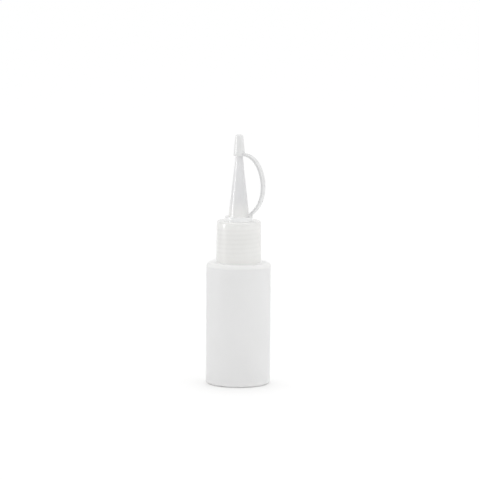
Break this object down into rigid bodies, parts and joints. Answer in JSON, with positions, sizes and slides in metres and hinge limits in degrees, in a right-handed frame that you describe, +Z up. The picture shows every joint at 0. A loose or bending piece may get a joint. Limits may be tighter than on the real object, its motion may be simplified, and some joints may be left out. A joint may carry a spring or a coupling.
{
  "type": "dropper bottle",
  "caption": "Upright plastic dropper bottle with a smooth screw closure, a long conical spout and a captive tip cap on a curved strap.",
  "frame": {"origin": "on the bottle's axis at the plane it stands on", "axes": "+Z up along the axis to the tip, +X towards the strap's widest point"},
  "size_m": [0.036, 0.036, 0.1398],
  "materials": {
    "bottle": "satin natural low-density polyethylene, translucent white",
    "closure": "satin natural low-density polyethylene, translucent white",
    "captive_cap": "smooth natural low-density polyethylene, more translucent than the bottle"
  },
  "bodies": {
    "bottle": {"bottle": "bottle"},
    "lift_collar": {"tether_ring": "captive_cap"},
    "closure": {"dropper_closure": "closure"},
    "strap_foot": {"strap_foot": "captive_cap"},
    "strap_link_1": {"strap_link_1": "captive_cap"},
    "strap_link_2": {"strap_link_2": "captive_cap"},
    "strap_link_3": {"strap_link_3": "captive_cap"},
    "strap_link_4": {"strap_link_4": "captive_cap"},
    "strap_link_5": {"strap_link_5": "captive_cap"},
    "strap_link_6": {"strap_link_6": "captive_cap"},
    "strap_link_7": {"strap_link_7": "captive_cap"},
    "strap_link_8": {"strap_link_8": "captive_cap"},
    "strap_link_9": {"strap_link_9": "captive_cap"},
    "tip_cap": {"tip_cap": "captive_cap"}
  },
  "joints": [
    {"name": "cap_rise", "type": "slide", "parent": "bottle", "child": "lift_collar", "axis": [0, 0, 1], "range_m": [0, 0.0213]},
    {"name": "cap_turn", "type": "hinge", "parent": "lift_collar", "child": "closure", "pos_m": [0, 0, 0.08], "axis": [0, 0, 1], "range_deg": [0, 3060]},
    {"name": "tether_swivel", "type": "hinge", "parent": "lift_collar", "child": "strap_foot", "pos_m": [0, 0, 0.093], "axis": [0, 0, 1], "continuous": true},
    {"name": "tip_cap_pull", "type": "hinge", "parent": "strap_foot", "child": "strap_link_1", "pos_m": [0.0076, 0, 0.0956], "axis": [0, -1, 0], "range_deg": [0, 54.12]},
    {"name": "strap_flex_2", "type": "hinge", "parent": "strap_link_1", "child": "strap_link_2", "pos_m": [0.0098, 0, 0.0976], "axis": [0, -1, 0], "range_deg": [-12.19, 0]},
    {"name": "strap_flex_3", "type": "hinge", "parent": "strap_link_2", "child": "strap_link_3", "pos_m": [0.01272, 0, 0.10123], "axis": [0, -1, 0], "range_deg": [-20.54, 0]},
    {"name": "strap_flex_4", "type": "hinge", "parent": "strap_link_3", "child": "strap_link_4", "pos_m": [0.01457, 0, 0.10551], "axis": [0, -1, 0], "range_deg": [-16.98, 0]},
    {"name": "strap_flex_5", "type": "hinge", "parent": "strap_link_4", "child": "strap_link_5", "pos_m": [0.01534, 0, 0.11012], "axis": [0, -1, 0], "range_deg": [-13.68, 0]},
    {"name": "strap_flex_6", "type": "hinge", "parent": "strap_link_5", "child": "strap_link_6", "pos_m": [0.01513, 0, 0.11478], "axis": [0, -1, 0], "range_deg": [-11.69, 0]},
    {"name": "strap_flex_7", "type": "hinge", "parent": "strap_link_6", "child": "strap_link_7", "pos_m": [0.01401, 0, 0.11931], "axis": [0, -1, 0], "range_deg": [-11.19, 0]},
    {"name": "strap_flex_8", "type": "hinge", "parent": "strap_link_7", "child": "strap_link_8", "pos_m": [0.01194, 0, 0.12349], "axis": [0, -1, 0], "range_deg": [-12.14, 0]},
    {"name": "strap_flex_9", "type": "hinge", "parent": "strap_link_8", "child": "strap_link_9", "pos_m": [0.00878, 0, 0.12691], "axis": [0, -1, 0], "range_deg": [-14.19, 0]},
    {"name": "tip_cap_tilt", "type": "hinge", "parent": "strap_link_9", "child": "tip_cap", "pos_m": [0.0045, 0, 0.12865], "axis": [0, -1, 0], "range_deg": [0, 53.08]}
  ],
  "couplings": [
    {"joint": "cap_rise", "follows": "cap_turn", "m_per_rad": 0.00039789},
    {"joint": "strap_flex_2", "follows": "tip_cap_pull", "ratio": -0.20473},
    {"joint": "strap_flex_3", "follows": "tip_cap_pull", "ratio": -0.34497},
    {"joint": "strap_flex_4", "follows": "tip_cap_pull", "ratio": -0.28529},
    {"joint": "strap_flex_5", "follows": "tip_cap_pull", "ratio": -0.22986},
    {"joint": "strap_flex_6", "follows": "tip_cap_pull", "ratio": -0.19642},
    {"joint": "strap_flex_7", "follows": "tip_cap_pull", "ratio": -0.18792},
    {"joint": "strap_flex_8", "follows": "tip_cap_pull", "ratio": -0.20399},
    {"joint": "strap_flex_9", "follows": "tip_cap_pull", "ratio": -0.23836},
    {"joint": "tip_cap_tilt", "follows": "tip_cap_pull", "ratio": 0.89154}
  ]
}
